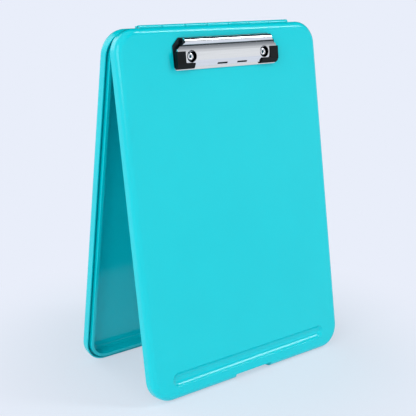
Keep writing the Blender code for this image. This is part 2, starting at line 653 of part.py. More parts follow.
def build_grips(part, tool, rubber):
    plate_slope = (PLATE_HEIGHT - BEND_HEIGHT) / (BEND_DROP - BAR_CENTRE_DROP - BAR_RADIUS)
    top_height = BEND_HEIGHT + plate_slope * (BEND_DROP - ROD_DROP)
    outer = SEAT_GAP + GRIP_THICKNESS
    inner_foot = JAW_DROP + SEAT_GAP
    outer_foot = inner_foot + GRIP_THICKNESS
    inner_side = JAW_HALF + SEAT_GAP
    outer_side = inner_side + GRIP_THICKNESS
    plan_top = ROD_DROP - OVERCUT
    skin = [
        (ROD_DROP, GRIP_SKIRT_HEIGHT), (ROD_DROP, top_height + outer),
        (BEND_DROP + GRIP_THICKNESS / 2, BEND_HEIGHT + outer), (outer_foot, LIP_HEIGHT + outer),
        (outer_foot, GRIP_SKIRT_HEIGHT)]
    room = [
        (plan_top, 0), (plan_top, top_height + SEAT_GAP + plate_slope * OVERCUT),
        (BEND_DROP, BEND_HEIGHT + GRIP_BEND_GAP), (inner_foot, LIP_HEIGHT + SEAT_GAP), (inner_foot, 0)]
    corner = (outer_side - GRIP_CORNER_RADIUS, outer_foot - GRIP_CORNER_RADIUS)
    plan = [
        (GRIP_FOOT_HALF, GRIP_FOOT_DROP), (GRIP_LEG_HALF, GRIP_FOOT_DROP), (GRIP_LEG_HALF, plan_top),
        (outer_side, plan_top)] + arc(corner, GRIP_CORNER_RADIUS, 0, pi / 2, SMALL_FACETS // 4) + [
        (GRIP_FOOT_HALF, outer_foot)]
    for word, side in SIDES.items():
        block = to_jaw(side_profile(skin, outer_side + OVERCUT))
        grip = add_object(f"corner_grip_{word}", block, part, rubber)
        side_plan = [(side * offset, drop) for offset, drop in plan]
        shape = add_object(f"grip_plan_{word}", to_jaw(plan_profile(side_plan, 2 * BAR_TOP)), tool)
        jaw_room = add_object(f"grip_room_{word}", to_jaw(side_profile(room, inner_side)), tool)
        combine(grip, shape, "INTERSECT")
        combine(grip, jaw_room)


def spring_path(start_x):
    # Rear leg under the bar, the coil round the rod, then a leg down and forward along the base plate.
    radius = SPRING_COIL_RADIUS
    path = [(start_x, -radius - SPRING_REAR_LIFT, SPRING_REAR_LEG),
            (start_x, -radius - SPRING_REAR_LIFT / 2, SPRING_REAR_LEG / 2)]
    for i in range(SPRING_TURNS * COIL_POINTS + 2):
        angle = 2 * pi * i / COIL_POINTS
        path.append((start_x + SPRING_PITCH * i / COIL_POINTS, -radius * cos(angle), -radius * sin(angle)))
    end_x = path[-1][0]
    floor = ROD_HEIGHT - BASE_TOP - SEAT_GAP - SPRING_WIRE_RADIUS
    path += [(end_x, floor, -SPRING_BEND), (end_x, floor, -SPRING_FRONT_LEG)]
    return path


def least_gap(path):
    half_turn = COIL_POINTS // 2
    gaps = [(Vector(path[i]) - Vector(path[j])).length
            for i in range(len(path)) for j in range(i + half_turn, len(path))]
    return min(gaps) - 2 * SPRING_WIRE_RADIUS


def build_springs(part, spring_steel):
    for word, side in SIDES.items():
        path = spring_path(spring_start(side))
        curve = curve_through(path, cyclic=False)
        curve.dimensions = "3D"
        curve.bevel_depth = SPRING_WIRE_RADIUS
        curve.bevel_resolution = WIRE_RESOLUTION
        curve.use_fill_caps = True
        add_object(f"clip_spring_{word}", solid_of(curve), part, spring_steel)
        print(f"clip_spring_{word} least gap to itself {least_gap(path) / MM:.2f} mm")


def lean():
    # The tray's tilt from upright that puts both feet at one level.
    lid_foot = Matrix.Rotation(-OPEN_ANGLE, 2) @ Vector((LID_RIM, LID_FOOT))
    step = Vector((TRAY_RIM, LID_FOOT)) - lid_foot
    return -atan2(step.y, step.x)


def stand_on_floor(stand, parts):
    bpy.context.view_layer.update()
    depsgraph = bpy.context.evaluated_depsgraph_get()
    points = []
    for obj in parts.objects:
        if obj.type == "MESH":
            body = obj.evaluated_get(depsgraph)
            points += [body.matrix_world @ vert.co for vert in body.data.vertices]
    low = Vector(min(point[axis] for point in points) for axis in range(3))
    high = Vector(max(point[axis] for point in points) for axis in range(3))
    stand.location -= Vector(((low.x + high.x) / 2, (low.y + high.y) / 2, low.z))


def main():
    clear_scene()
    parts = make_collection("storage_clipboard")
    tools = make_collection("cutters")
    plastic, plated, steel, spring_steel, rubber = (make_material(name) for name in MATERIALS)

    tilt = lean()
    stand = make_empty("hinge_axis", parts)
    tray_pivot = make_empty("tray_pivot", parts, stand, turn_x=tilt)
    lid_pivot = make_empty("lid_pivot", parts, stand, turn_x=tilt - OPEN_ANGLE)
    clip_seat = make_empty("clip_seat", parts, lid_pivot, (0, LID_FACE, LID_TOP))
    jaw_pivot = make_empty("jaw_pivot", parts, clip_seat, (0, -ROD_HEIGHT, -ROD_DROP))
    latch_pivot = make_empty("latch_pivot", parts, tray_pivot, (0, LATCH_PIN_Y, LATCH_PIN_Z))

    def on(pivot):
        return {"parent": pivot, "collection": parts}, {"parent": pivot, "collection": tools}

    build_lid(*on(lid_pivot), plastic)
    build_tray(*on(tray_pivot), plastic)
    build_pins(on(tray_pivot)[0], steel)
    build_latch(*on(latch_pivot), plastic)
    build_clip_base(*on(clip_seat), plated, steel)
    build_rivets(on(clip_seat)[0], plated, steel)
    build_jaw(*on(jaw_pivot), plated)
    build_grips(*on(jaw_pivot), rubber)
    build_springs(on(jaw_pivot)[0], spring_steel)
    stand_on_floor(stand, parts)
    bpy.context.view_layer.update()
    for pivot in (stand, tray_pivot, lid_pivot, clip_seat, jaw_pivot, latch_pivot):
        print(pivot.name, [round(value, 6) for value in pivot.matrix_world.translation],
              round(pivot.matrix_world.to_euler().x, 6))


main()
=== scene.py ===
import json
from math import atan2, cos, pi, radians, sin, sqrt, tan

import bmesh
import bpy
from mathutils import Matrix, Vector


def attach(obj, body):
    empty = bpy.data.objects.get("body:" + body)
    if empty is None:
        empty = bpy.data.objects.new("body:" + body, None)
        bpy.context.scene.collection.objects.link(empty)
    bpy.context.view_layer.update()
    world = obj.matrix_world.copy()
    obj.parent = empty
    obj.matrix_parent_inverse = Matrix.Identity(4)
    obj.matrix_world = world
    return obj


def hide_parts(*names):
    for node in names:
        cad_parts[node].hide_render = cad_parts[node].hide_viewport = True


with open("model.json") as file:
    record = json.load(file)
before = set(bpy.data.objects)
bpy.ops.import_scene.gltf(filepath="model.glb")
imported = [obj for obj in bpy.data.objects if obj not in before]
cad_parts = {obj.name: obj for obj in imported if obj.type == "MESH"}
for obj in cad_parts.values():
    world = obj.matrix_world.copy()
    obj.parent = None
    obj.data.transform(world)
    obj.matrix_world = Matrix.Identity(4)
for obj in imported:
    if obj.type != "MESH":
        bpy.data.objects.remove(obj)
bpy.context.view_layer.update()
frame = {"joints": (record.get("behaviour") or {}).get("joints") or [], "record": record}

mm = 0.001
joints = {joint["name"]: joint for joint in frame["joints"]}
hingeLine = Vector(joints["case_hinge"]["pos_m"])
trayBack = Vector(frame["record"]["mounts"][0]["axis"])
trayLean = atan2(trayBack.z, trayBack.y)
lidLean = trayLean + radians(joints["case_hinge"]["range_deg"][0])   # shut is the joint's lower end
sides = {"left": -1, "right": 1}
over = 1       # how far a cutter reaches past the face it opens, in millimetres
sink = 0.3     # how far an added block sinks into the piece it joins
hair = 0.01    # places closer than this are the same
sharp = 1      # an edge that folds by more than this, in radians, is a corner
smoothAngle = radians(32)   # faces that meet at less than this are shaded as one
print("frame loaded, lid leans", round(lidLean, 4), "tray leans", round(trayLean, 4))


# Hand tools

def takeUp(obj):
    bpy.ops.object.select_all(action="DESELECT")
    obj.select_set(True)
    bpy.context.view_layer.objects.active = obj
    return obj


def nameIt(name):
    obj = bpy.context.object
    obj.name = obj.data.name = name
    bpy.ops.object.transform_apply(location=True, rotation=True, scale=True)
    return obj


def pick(kind, test):
    bpy.ops.mesh.select_mode(type=kind)
    bpy.ops.mesh.select_all(action="DESELECT")
    mesh = bmesh.from_edit_mesh(bpy.context.object.data)
    mesh.normal_update()
    for item in {"VERT": mesh.verts, "EDGE": mesh.edges, "FACE": mesh.faces}[kind]:
        item.select_set(bool(test(item)))
    mesh.select_flush_mode()
    bmesh.update_edit_mesh(bpy.context.object.data)


def level(edge, y):
    return all(abs(vert.co.y - y) < hair for vert in edge.verts)


def crease(edge):
    return edge.calc_face_angle(0)


def runAlongY(edge):
    return abs(edge.verts[0].co.y - edge.verts[1].co.y)


def roundEdges(obj, test, radius, steps):
    takeUp(obj)
    bpy.ops.object.mode_set(mode="EDIT")
    pick("EDGE", test)
    bpy.ops.mesh.bevel(offset=radius, segments=steps, affect="EDGES", clamp_overlap=True)
    bpy.ops.object.mode_set(mode="OBJECT")


def addBlock(name, xSpan, ySpan, zSpan):
    bpy.ops.object.select_all(action="DESELECT")
    spans = (xSpan, ySpan, zSpan)
    bpy.ops.mesh.primitive_cube_add(size=1, location=[sum(span) / 2 for span in spans])
    bpy.context.object.scale = [span[1] - span[0] for span in spans]
    return nameIt(name)


def addRod(name, radius, xSpan, y, z, endRound=0.0, corners=32):
    bpy.ops.object.select_all(action="DESELECT")
    bpy.ops.mesh.primitive_cylinder_add(vertices=corners, radius=radius, depth=xSpan[1] - xSpan[0],
                                        location=(sum(xSpan) / 2, y, z), rotation=(0, pi / 2, 0))
    obj = nameIt(name)
    if endRound:
        roundEdges(obj, lambda edge: crease(edge) > sharp, endRound, steps=4)
    return obj


def addDrill(name, radius, x, z, ySpan, corners=48):
    bpy.ops.object.select_all(action="DESELECT")
    bpy.ops.mesh.primitive_cylinder_add(vertices=corners, radius=radius, depth=ySpan[1] - ySpan[0],
                                        location=(x, sum(ySpan) / 2, z), rotation=(pi / 2, 0, 0))
    return nameIt(name)


def addRoundBar(name, radius, halfLength, y, z):
    # a sphere with its poles along x, pulled apart at the middle
    bpy.ops.object.select_all(action="DESELECT")
    bpy.ops.mesh.primitive_uv_sphere_add(segments=64, ring_count=33, radius=radius,
                                         location=(0, y, z), rotation=(0, pi / 2, 0))
    obj = nameIt(name)
    pullApart(obj, halfLength)
    return obj


def pullApart(obj, halfLength):
    takeUp(obj)
    bpy.ops.object.mode_set(mode="EDIT")
    for side in sides.values():
        pick("VERT", lambda vert: vert.co.x * side > 0)
        bpy.ops.transform.translate(value=(side * halfLength, 0, 0))
    bpy.ops.object.mode_set(mode="OBJECT")


def addOutline(name, points, pull):
    # a circle whose corners are moved to the outline's points, then pulled out to a solid
    bpy.ops.object.select_all(action="DESELECT")
    bpy.ops.mesh.primitive_circle_add(vertices=len(points), fill_type="NGON")
    obj = bpy.context.object
    for vert, point in zip(obj.data.vertices, points):
        vert.co = point
    bpy.ops.object.mode_set(mode="EDIT")
    bpy.ops.mesh.select_all(action="SELECT")
    bpy.ops.mesh.extrude_region_move(TRANSFORM_OT_translate={"value": pull})
    bpy.ops.mesh.select_all(action="SELECT")
    bpy.ops.mesh.normals_make_consistent(inside=False)
    bpy.ops.object.mode_set(mode="OBJECT")
    return nameIt(name)


def addTurned(name, profile, x, z, closed=True, steps=64):
    # a profile of (radius, y) points spun about an axis square to the lid's face
    bpy.ops.object.select_all(action="DESELECT")
    bpy.ops.mesh.primitive_circle_add(vertices=len(profile), fill_type="NOTHING")
    obj = bpy.context.object
    for vert, (radius, y) in zip(obj.data.vertices, profile):
        vert.co = (x + radius, y, z)
    bpy.ops.object.mode_set(mode="EDIT")
    if not closed:
        last = len(profile) - 1
        pick("EDGE", lambda edge: {vert.index for vert in edge.verts} == {0, last})
        bpy.ops.mesh.delete(type="EDGE")
    bpy.ops.mesh.select_all(action="SELECT")
    bpy.ops.mesh.spin(steps=steps, angle=2 * pi, center=(x, 0, z), axis=(0, 1, 0))
    bpy.ops.mesh.select_all(action="SELECT")
    bpy.ops.mesh.remove_doubles(threshold=0.001)
    if not closed:
        for y in (profile[0][1], profile[-1][1]):
            pick("EDGE", lambda edge: edge.is_boundary and level(edge, y))
            bpy.ops.mesh.edge_face_add()
    bpy.ops.mesh.select_all(action="SELECT")
    bpy.ops.mesh.normals_make_consistent(inside=False)
    bpy.ops.object.mode_set(mode="OBJECT")
    return nameIt(name)


def roundBlock(obj, cornerRadius, edgeRadius, roundY):
    # the upright corners first, then the ring of edges on the rounded side
    roundEdges(obj, lambda edge: runAlongY(edge) > 1, cornerRadius, steps=24)
    roundEdges(obj, lambda edge: level(edge, roundY), edgeRadius, steps=10)


def sinkFace(obj, y, steps):
    # insets the face at y and pushes it along y, once for each (inset, push)
    takeUp(obj)
    bpy.ops.object.mode_set(mode="EDIT")
    pick("FACE", lambda face: abs(face.calc_center_median().y - y) < hair and abs(face.normal.y) > 0.9)
    for inset, push in steps:
        bpy.ops.mesh.inset(thickness=inset)
        bpy.ops.mesh.extrude_region_move(TRANSFORM_OT_translate={"value": (0, push, 0)})
    bpy.ops.object.mode_set(mode="OBJECT")


def applyModifier(obj, kind, **settings):
    takeUp(obj)
    modifier = obj.modifiers.new(kind, kind)
    for name, value in settings.items():
        setattr(modifier, name, value)
    bpy.ops.object.modifier_apply(modifier=modifier.name)


def combine(obj, operation, *tools):
    for tool in tools:
        applyModifier(obj, "BOOLEAN", operation=operation, object=tool, solver="EXACT")
        bpy.data.objects.remove(tool)


def trim(obj, point, normal):
    takeUp(obj)
    bpy.ops.object.mode_set(mode="EDIT")
    bpy.ops.mesh.select_all(action="SELECT")
    bpy.ops.mesh.bisect(plane_co=point, plane_no=normal, use_fill=True, clear_outer=True)
    bpy.ops.object.mode_set(mode="OBJECT")


def arc(centre, radius, start, end, steps):
    turns = [start + (end - start) * step / steps for step in range(steps + 1)]
    return [(centre[0] + radius * cos(turn), centre[1] + radius * sin(turn)) for turn in turns]


def roundedOutline(corners, steps=6):
    # corners are (a, b, radius); a corner with a radius becomes an arc
    points = []
    for i, (a, b, radius) in enumerate(corners):
        here = Vector((a, b))
        if not radius:
            points.append(here)
            continue
        before = (Vector(corners[i - 1][:2]) - here).normalized()
        after = (Vector(corners[(i + 1) % len(corners)][:2]) - here).normalized()
        half = before.angle(after) / 2
        centre = here + (before + after).normalized() * radius / sin(half)
        first = here + before * radius / tan(half) - centre
        turn = pi - 2 * half if before.cross(after) < 0 else 2 * half - pi
        points += [centre + Matrix.Rotation(turn * step / steps, 2) @ first for step in range(steps + 1)]
    return points


def settle(obj, lean, body, node, material):
    # millimetres to metres, leaned about the hinge line, then given its finish and its body
    takeUp(obj)
    obj.scale = (mm, mm, mm)
    obj.rotation_euler = (lean, 0, 0)
    obj.location = hingeLine
    bpy.ops.object.transform_apply(location=True, rotation=True, scale=True)
    bpy.ops.object.shade_smooth_by_angle(angle=smoothAngle)
    applyModifier(obj, "WEIGHTED_NORMAL", keep_sharp=True)
    obj.data.materials.clear()
    obj.data.materials.append(material)
    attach(obj, body)
    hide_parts(node)
    print(obj.name, len(obj.data.polygons), "faces")


# Finishes

def paint(code):
    # an sRGB hex colour as linear light
    parts = [int(code[i:i + 2], 16) / 255 for i in (1, 3, 5)]
    return [part / 12.92 if part <= 0.04045 else ((part + 0.055) / 1.055) ** 2.4 for part in parts] + [1]


def newFinish(name):
    material = bpy.data.materials.new(name)
    material.use_nodes = True
    return material, material.node_tree, material.node_tree.nodes["Principled BSDF"]


def addNode(tree, kind, links, **settings):
    node = tree.nodes.new(kind)
    for name, value in settings.items():
        setattr(node, name, value)
    for socket, value in links.items():
        if isinstance(value, bpy.types.NodeSocket):
            tree.links.new(value, node.inputs[socket])
        else:
            node.inputs[socket].default_value = value
    return node


noiseSpan = (0.3, 0.7)   # a noise keeps mostly to this middle part of its range


def addNoise(tree, place, size, detail):
    # size is about one blotch, in millimetres
    links = {"Vector": place, "Scale": 1 / (size * mm), "Detail": detail}
    return addNode(tree, "ShaderNodeTexNoise", links).outputs["Fac"]


def mixColours(tree, share, first, second):
    links = {"Fac": share, "Color1": first, "Color2": second}
    return addNode(tree, "ShaderNodeMixRGB", links).outputs["Color"]


def spreadGloss(tree, noise, gloss):
    links = {"Value": noise, "From Min": noiseSpan[0], "From Max": noiseSpan[1],
             "To Min": gloss[0], "To Max": gloss[1]}
    return addNode(tree, "ShaderNodeMapRange", links).outputs["Result"]


def addBump(tree, height, strength, depth, under=None):
    # depth is in millimetres, and under is a bump that this one lies on
    links = {"Height": height, "Strength": strength, "Distance": depth * mm}
    if under is not None:
        links["Normal"] = under
    return addNode(tree, "ShaderNodeBump", links).outputs["Normal"]


def dress(tree, shader, colour, rough, skin):
    tree.links.new(colour, shader.inputs["Base Color"])
    tree.links.new(rough, shader.inputs["Roughness"])
    tree.links.new(skin, shader.inputs["Normal"])


def setSheen(shader, look):
    shader.inputs["IOR"].default_value = look["ior"]
    shader.inputs["Specular IOR Level"].default_value = look["specular"]


plasticLook = dict(deep="#00D2DC", light="#02D8E1", cloud=60, peel=9, grain=0.9, gloss=(0.13, 0.17),
                   ripple=(0.05, 0.05), tooth=(0.1, 0.02), ior=1.49, specular=0.4)


def turquoisePolypropylene():
    # injection-moulded polypropylene, coloured right through: an even, strong turquoise with a soft waxy gloss,
    # a trace of flow in its colour, a slow ripple from the mould and a fine grain
    material, tree, shader = newFinish("turquoisePolypropylene")
    place = addNode(tree, "ShaderNodeTexCoord", {}).outputs["Object"]
    cloud = addNoise(tree, place, plasticLook["cloud"], detail=2)
    peel = addNoise(tree, place, plasticLook["peel"], detail=1)
    # the real grain is about 0.1 mm; it is drawn at 0.9 mm so that it shows
    grain = addNoise(tree, place, plasticLook["grain"], detail=3)
    colour = mixColours(tree, cloud, paint(plasticLook["deep"]), paint(plasticLook["light"]))
    rough = spreadGloss(tree, peel, plasticLook["gloss"])
    ripple = addBump(tree, peel, *plasticLook["ripple"])
    dress(tree, shader, colour, rough, addBump(tree, grain, *plasticLook["tooth"], under=ripple))
    setSheen(shader, plasticLook)
    return material


brightNickel = dict(deep="#DADDE0", light="#EEF0F2", streak=(40, 0.5, 0.5), gloss=(0.03, 0.07), dent=(0.3, 0.003))
# painted shade: a dark grey colour and rougher gloss put in the jaw's valley and on the base under the jaw, where
# shade falls
paintedShade = dict(colour="#2C383C", rough=0.3)
steelLooks = {
    "nickelPlatedSteel": brightNickel,
    # the drops where shade is painted: the jaw's valley under the bar, and the base plate under the jaw
    "nickelPlatedJaw": dict(brightNickel, paintedShadeDrops=(17.1, 18.8), feather=0.4),
    "nickelPlatedBase": dict(brightNickel, paintedShadeDrops=(8, 37.3), feather=0.5),
    "drawnSteelPin": dict(deep="#9A9DA1", light="#BFC2C5", streak=(12, 0.25, 0.25), gloss=(0.24, 0.38),
                          dent=(0.3, 0.006)),
    "drawnSpringWire": dict(deep="#6E7073", light="#8F9295", streak=(1.2, 0.6, 0.6), gloss=(0.26, 0.4),
                            dent=(0.3, 0.004)),
}


def paintedShadeBand(tree, place, look):
    # 1 between two drops below the lid's top edge, where shade is painted on as a dark grey, rougher band, and 0
    # away from them
    down = Vector((0, sin(lidLean), -cos(lidLean))) / mm
    first, last = look["paintedShadeDrops"]
    middle, half = (first + last) / 2, (last - first) / 2
    along = addNode(tree, "ShaderNodeVectorMath", {0: place, 1: down}, operation="DOT_PRODUCT").outputs["Value"]
    away = addNode(tree, "ShaderNodeMath", {0: along, 1: middle - lid["top"] + hingeLine.dot(down)},
                   operation="SUBTRACT").outputs["Value"]
    away = addNode(tree, "ShaderNodeMath", {0: away}, operation="ABSOLUTE").outputs["Value"]
    links = {"Value": away, "From Min": half, "From Max": half - look["feather"]}
    return addNode(tree, "ShaderNodeMapRange", links).outputs["Result"]


def steelFinish(name):
    # nickel plate over pressed sheet is near white and mirror-bright, with faint rolling lines along the sheet;
    # in its valley and under the jaw it gets painted shade, a dark grey colour, with a rougher gloss;
    # drawn wire and pins are greyer and softer, with draw lines along their length
    look = steelLooks[name]
    material, tree, shader = newFinish(name)
    place = addNode(tree, "ShaderNodeTexCoord", {}).outputs["Object"]
    stretch = addNode(tree, "ShaderNodeMapping",
                      {"Vector": place, "Scale": [1 / (size * mm) for size in look["streak"]]})
    lines = addNode(tree, "ShaderNodeTexNoise",
                    {"Vector": stretch.outputs["Vector"], "Scale": 1, "Detail": 3}).outputs["Fac"]
    colour = mixColours(tree, lines, paint(look["deep"]), paint(look["light"]))
    rough = spreadGloss(tree, lines, look["gloss"])
    if "paintedShadeDrops" in look:
        # painted shade: inside the band the metal turns dark grey and rougher
        band = paintedShadeBand(tree, place, look)
        colour = mixColours(tree, band, colour, paint(paintedShade["colour"]))
        links = {"Value": band, "To Min": rough, "To Max": paintedShade["rough"]}
        rough = addNode(tree, "ShaderNodeMapRange", links).outputs["Result"]
    dress(tree, shader, colour, rough, addBump(tree, lines, *look["dent"]))
    shader.inputs["Metallic"].default_value = 1
    return material


rubberLook = dict(deep="#06090B", light="#0F1417", cloud=6, grain=0.5, gloss=(0.34, 0.48), tooth=(0.3, 0.03),
                  ior=1.52, specular=0.15)


def blackRubber():
    # moulded nitrile rubber: close to black, with a dull sheen and a fine matt grain
    material, tree, shader = newFinish("blackRubber")
    place = addNode(tree, "ShaderNodeTexCoord", {}).outputs["Object"]
    cloud = addNoise(tree, place, rubberLook["cloud"], detail=3)
    grain = addNoise(tree, place, rubberLook["grain"], detail=2)
    colour = mixColours(tree, cloud, paint(rubberLook["deep"]), paint(rubberLook["light"]))
    rough = spreadGloss(tree, cloud, rubberLook["gloss"])
    dress(tree, shader, colour, rough, addBump(tree, grain, *rubberLook["tooth"]))
    setSheen(shader, rubberLook)
    return material


# The case: two moulded halves, their hinge and their latch

case = dict(half=120, foot=-340.8, cornerRadius=22.5, edgeRadius=6.0, wall=2.2)
hinge = dict(half=90, count=7, gap=0.6, radius=2.19, bore=1.3, clearance=0.4, pinRadius=1.0, pinInset=0.5,
             endRound=0.35, pinRound=0.4, boreSpare=5, webTop=0.4)
lid = dict(top=-0.8, face=-9.4, rim=2.6, rimRound=0.45, notchHalf=23, notchHeight=4.5, pocketDrop=0.1)
groove = dict(half=91, width=13, depth=3.2, rise=19, rimRound=0.9, firstSlope=radians(3), lastSlope=radians(8),
              lift=0.5)
# step and flush keep added blocks and cuts out of the plane of the tray's rim
tray = dict(top=-2.6, rim=2.9, back=14.9, wall=1.4, channel=2.2, channelDepth=6, lip=3.3, lipTop=0.3,
            rimRound=0.4, channelRound=0.5, lipRound=1.2, step=0.05, flush=0.02, stop=(1, 4), recessFoot=3)
latch = dict(pinY=7.5, pinZ=-338.3, reach=12, thickness=2.2, half=22.1, barrel=1.9, bead=0.9, bore=1.2,
             pinRadius=0.9, pinHalf=24.5, beadZ=0.8, ceiling=-335.8, back=11.0, edgeRound=0.5, barrelRound=0.3,
             beadRound=0.5, beadInset=1, pinRound=0.35, pinSpare=0.3)


def knuckleSpans(first, spare=0.0):
    pitch = (2 * hinge["half"] + hinge["gap"]) / hinge["count"]
    starts = [-hinge["half"] + pitch * i for i in range(first, hinge["count"], 2)]
    return [(start - spare, start + pitch - hinge["gap"] + spare) for start in starts]


def addKnuckles(shell, first):
    for span in knuckleSpans(first):
        combine(shell, "UNION", addRod("knuckle", hinge["radius"], span, 0, 0, hinge["endRound"]))
    reach = hinge["half"] + hinge["boreSpare"]
    combine(shell, "DIFFERENCE", addRod("hingeBore", hinge["bore"], (-reach, reach), 0, 0))


def grooveRadius():
    return (groove["width"] ** 2 / 4 + groove["depth"] ** 2) / (2 * groove["depth"])


def grooveProfile():
    # (radius, y) from the groove's bed up its wall, over the rounded rim and clear of the lid's face
    radius, rim = grooveRadius(), groove["rimRound"]
    rise = radius - groove["depth"]
    reach = sqrt((radius + rim) ** 2 - (rise + rim) ** 2)
    steepest = atan2(reach, rise + rim)
    bed = arc((0, rise), radius, groove["firstSlope"] - pi / 2, steepest - pi / 2, steps=16)
    lip = arc((reach, -rim), rim, steepest + pi / 2, pi / 2 + groove["lastSlope"], steps=6)[1:]
    outer = lip[-1][0] + (groove["lift"] - lip[-1][1]) / tan(groove["lastSlope"])
    points = bed + lip + [(outer, groove["lift"]), (outer, rise)]
    return [(across, lid["face"] - height) for across, height in points]


def buildLid(finish):
    half, foot, wall = case["half"], case["foot"], case["wall"]
    face, rim, top = lid["face"], lid["rim"], lid["top"]
    shell = addBlock("lidShell", (-half, half), (face, rim), (foot, top))
    roundBlock(shell, case["cornerRadius"], case["edgeRadius"], face)
    sinkFace(shell, rim, [(wall, face + wall - rim)])
    roundEdges(shell, lambda edge: level(edge, face + wall), case["edgeRadius"] - wall, steps=6)
    roundEdges(shell, lambda edge: level(edge, rim), lid["rimRound"], steps=3)

    # the pen groove, and the bulge that backs it inside
    grooveZ = foot + groove["rise"]
    radius = grooveRadius()
    bulge = addRoundBar("grooveBulge", radius + wall, groove["half"], face + groove["depth"] - radius, grooveZ)
    trim(bulge, (0, face + wall / 2, 0), (0, -1, 0))
    combine(shell, "UNION", bulge)
    cutter = addTurned("grooveCut", grooveProfile(), 0, grooveZ, closed=False, steps=62)
    pullApart(cutter, groove["half"])
    combine(shell, "DIFFERENCE", cutter)

    # the notch in the foot edge, in a pocket of its own walls
    notch, ceiling = lid["notchHalf"], foot + lid["notchHeight"]
    pocket = addBlock("notchPocket", (-notch - wall, notch + wall), (face + wall - sink, rim - lid["pocketDrop"]),
                      (foot + wall - sink, ceiling + wall))
    combine(shell, "UNION", pocket)
    combine(shell, "DIFFERENCE",
            addBlock("notchCut", (-notch, notch), (face - over, rim + over), (foot - over, ceiling)))

    # the hinge's side of the lid
    spare = hinge["radius"] + 2 * hinge["clearance"]
    for span in knuckleSpans(0, hinge["clearance"]):
        combine(shell, "DIFFERENCE",
                addBlock("hingeGap", span, (-spare, rim + over), (top - wall - over, spare)))
    addKnuckles(shell, 1)
    for side in sides.values():
        combine(shell, "DIFFERENCE", addDrill("rivetHole", rivet["hole"], side * rivet["offset"],
                                              top - rivet["drop"], (face - over, face + wall + over)))
    settle(shell, lidLean, "lid", "lid_shell", finish)


def buildTray(finish):
    half, foot, wall = case["half"], case["foot"], case["wall"]
    rim, back, top = tray["rim"], tray["back"], tray["top"]
    shell = addBlock("trayShell", (-half, half), (rim, back), (foot, top))
    roundBlock(shell, case["cornerRadius"], case["edgeRadius"], back)
    bed, floor = rim + tray["channelDepth"], back - wall
    sinkFace(shell, rim, [(tray["wall"], bed - rim), (tray["channel"], tray["lipTop"] - bed),
                          (tray["lip"], floor - tray["lipTop"])])
    roundEdges(shell, lambda edge: level(edge, floor), case["edgeRadius"] - wall, steps=6)
    roundEdges(shell, lambda edge: level(edge, bed), tray["channelRound"], steps=3)
    roundEdges(shell, lambda edge: level(edge, tray["lipTop"]), tray["lipRound"], steps=4)
    roundEdges(shell, lambda edge: level(edge, rim), tray["rimRound"], steps=3)

    # the latch's recess in the foot edge, with the channel and lip stopped short of it
    notch, ceiling = lid["notchHalf"], latch["ceiling"]
    pocket, step = notch + wall, rim + tray["step"]
    stopFoot, stopTop = (foot + rise for rise in tray["stop"])
    combine(shell, "UNION",
            addBlock("channelStop", (-pocket - wall, pocket + wall), (step, bed + sink), (stopFoot, stopTop)),
            addBlock("recessWall", (-pocket, pocket), (step, floor + sink),
                     (foot + tray["recessFoot"], ceiling + wall)))
    lipEnd, lipFront = pocket + over, tray["lipTop"] - over
    hole = latch["pinHalf"] + latch["pinSpare"]
    combine(shell, "DIFFERENCE",
            addBlock("lipGap", (-lipEnd, lipEnd), (lipFront, rim - tray["flush"]),
                     (foot - over, ceiling + wall + over)),
            addBlock("recess", (-notch, notch), (lipFront, latch["back"]), (foot - over, ceiling)),
            addRod("pinHole", latch["bore"], (-hole, hole), latch["pinY"], latch["pinZ"]))

    # the hinge's side of the tray
    web = rim + tray["wall"] + hinge["clearance"]
    for span in knuckleSpans(0, -hinge["clearance"]):
        combine(shell, "UNION", addBlock("hingeWeb", span, (0, web), (top - over, hinge["webTop"])))
    addKnuckles(shell, 0)
    settle(shell, trayLean, "tray", "tray_shell", finish)


def buildLatch(finish):
    half, pinY, pinZ = latch["half"], latch["pinY"], latch["pinZ"]
    flap = addBlock("latchFlap", (-half, half), (pinY - latch["reach"], pinY),
                    (pinZ - latch["thickness"] / 2, pinZ + latch["thickness"] / 2))
    middle = pinY - latch["reach"] / 2
    roundEdges(flap, lambda edge: all(vert.co.y < middle for vert in edge.verts), latch["edgeRound"], steps=4)
    inner = half - hinge["clearance"]
    bead = inner - latch["beadInset"]
    combine(flap, "UNION",
            addRod("latchBarrel", latch["barrel"], (-inner, inner), pinY, pinZ, latch["barrelRound"]),
            addRod("latchBead", latch["bead"], (-bead, bead), pinY - latch["reach"] + latch["bead"],
                   pinZ + latch["beadZ"], latch["beadRound"]))
    combine(flap, "DIFFERENCE", addRod("latchBore", latch["bore"], (-half - over, half + over), pinY, pinZ))
    settle(flap, trayLean, "latch", "latch_flap", finish)


def buildPins(finish):
    half = hinge["half"] - hinge["pinInset"]
    pin = addRod("hingePin", hinge["pinRadius"], (-half, half), 0, 0, hinge["pinRound"])
    settle(pin, trayLean, "tray", "hinge_pin", finish)
    pin = addRod("latchPin", latch["pinRadius"], (-latch["pinHalf"], latch["pinHalf"]), latch["pinY"],
                 latch["pinZ"], latch["pinRound"])
    settle(pin, trayLean, "tray", "latch_pin", finish)


# The clip: drawn in drops below the lid's top edge and heights above its face

